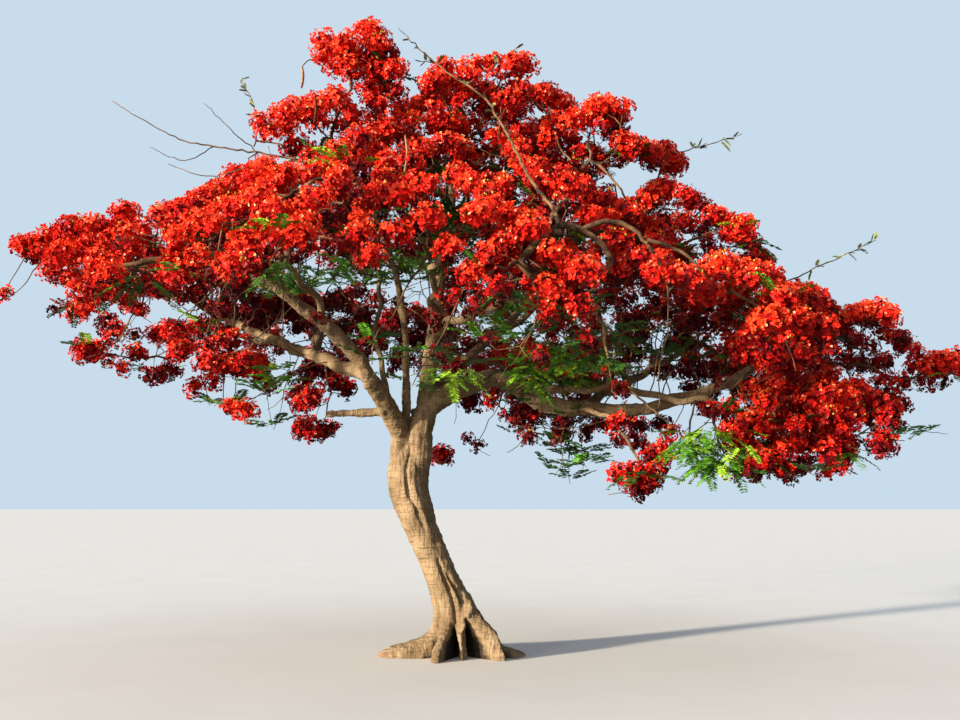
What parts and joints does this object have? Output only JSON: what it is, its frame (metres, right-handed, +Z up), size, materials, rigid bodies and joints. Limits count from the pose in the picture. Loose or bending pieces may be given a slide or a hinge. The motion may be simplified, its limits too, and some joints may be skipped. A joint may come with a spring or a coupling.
{
  "type": "whole flowering flame tree",
  "caption": "Leaning flame tree with a buttressed foot, a low fork and a wide umbrella crown of red blossom and ferny leaf.",
  "frame": {"origin": "centre of the flat cut under the trunk, at ground level", "axes": "+Z up, +X to the right of a viewer at the front and along the crown's longest reach, +Y away from the viewer"},
  "size_m": [12.1905, 9.1148, 7.6157],
  "materials": {
    "bark": "rough tan-grey bark",
    "twig": "rough brown twigs",
    "blossom": "soft vermilion petals",
    "leaf": "matt green leaflets",
    "pod": "dry dark brown pods"
  },
  "bodies": {
    "root": {"back_bough": "bark", "back_left_bough": "bark", "back_low_bough": "bark", "back_right_bough": "bark", "far_left_bough": "bark", "front_bough": "bark", "leader": "bark", "left_bough": "bark", "left_drooping_bough": "bark", "left_front_bough": "bark", "left_lower_bough": "bark", "left_riser": "bark", "left_stem": "bark", "mass_back_hanging": "blossom", "mass_crown_centre": "blossom", "mass_inner_leaves": "leaf", "mass_left_hanging": "blossom", "mass_left_low": "blossom", "mass_left_tip": "blossom", "mass_middle_1": "blossom", "mass_middle_2": "blossom", "mass_middle_3": "blossom", "mass_middle_4": "blossom", "mass_middle_5": "blossom", "mass_middle_6": "blossom", "mass_middle_7": "blossom", "mass_middle_8": "blossom", "mass_right_hanging": "blossom", "mass_right_low": "blossom", "mass_right_tip": "blossom", "mass_rim_1": "blossom", "mass_rim_10": "blossom", "mass_rim_11": "blossom", "mass_rim_12": "blossom", "mass_rim_2": "blossom", "mass_rim_3": "blossom", "mass_rim_4": "blossom", "mass_rim_5": "blossom", "mass_rim_6": "blossom", "mass_rim_7": "blossom", "mass_rim_8": "blossom", "mass_rim_9": "blossom", "mass_shoulder_left": "blossom", "mass_shoulder_right": "blossom", "mass_top_1": "blossom", "mass_top_2": "blossom", "mass_top_3": "blossom", "mass_top_4": "blossom", "mass_tuft_left": "blossom", "mass_tuft_right": "blossom", "pruned_stub": "bark", "right_bough": "bark", "right_drooping_bough": "bark", "right_front_bough": "bark", "right_high_bough": "bark", "right_low_bough": "bark", "right_outer_bough": "bark", "right_stem": "bark", "right_upper_bough": "bark", "trunk": "bark"}
  },
  "joints": []
}
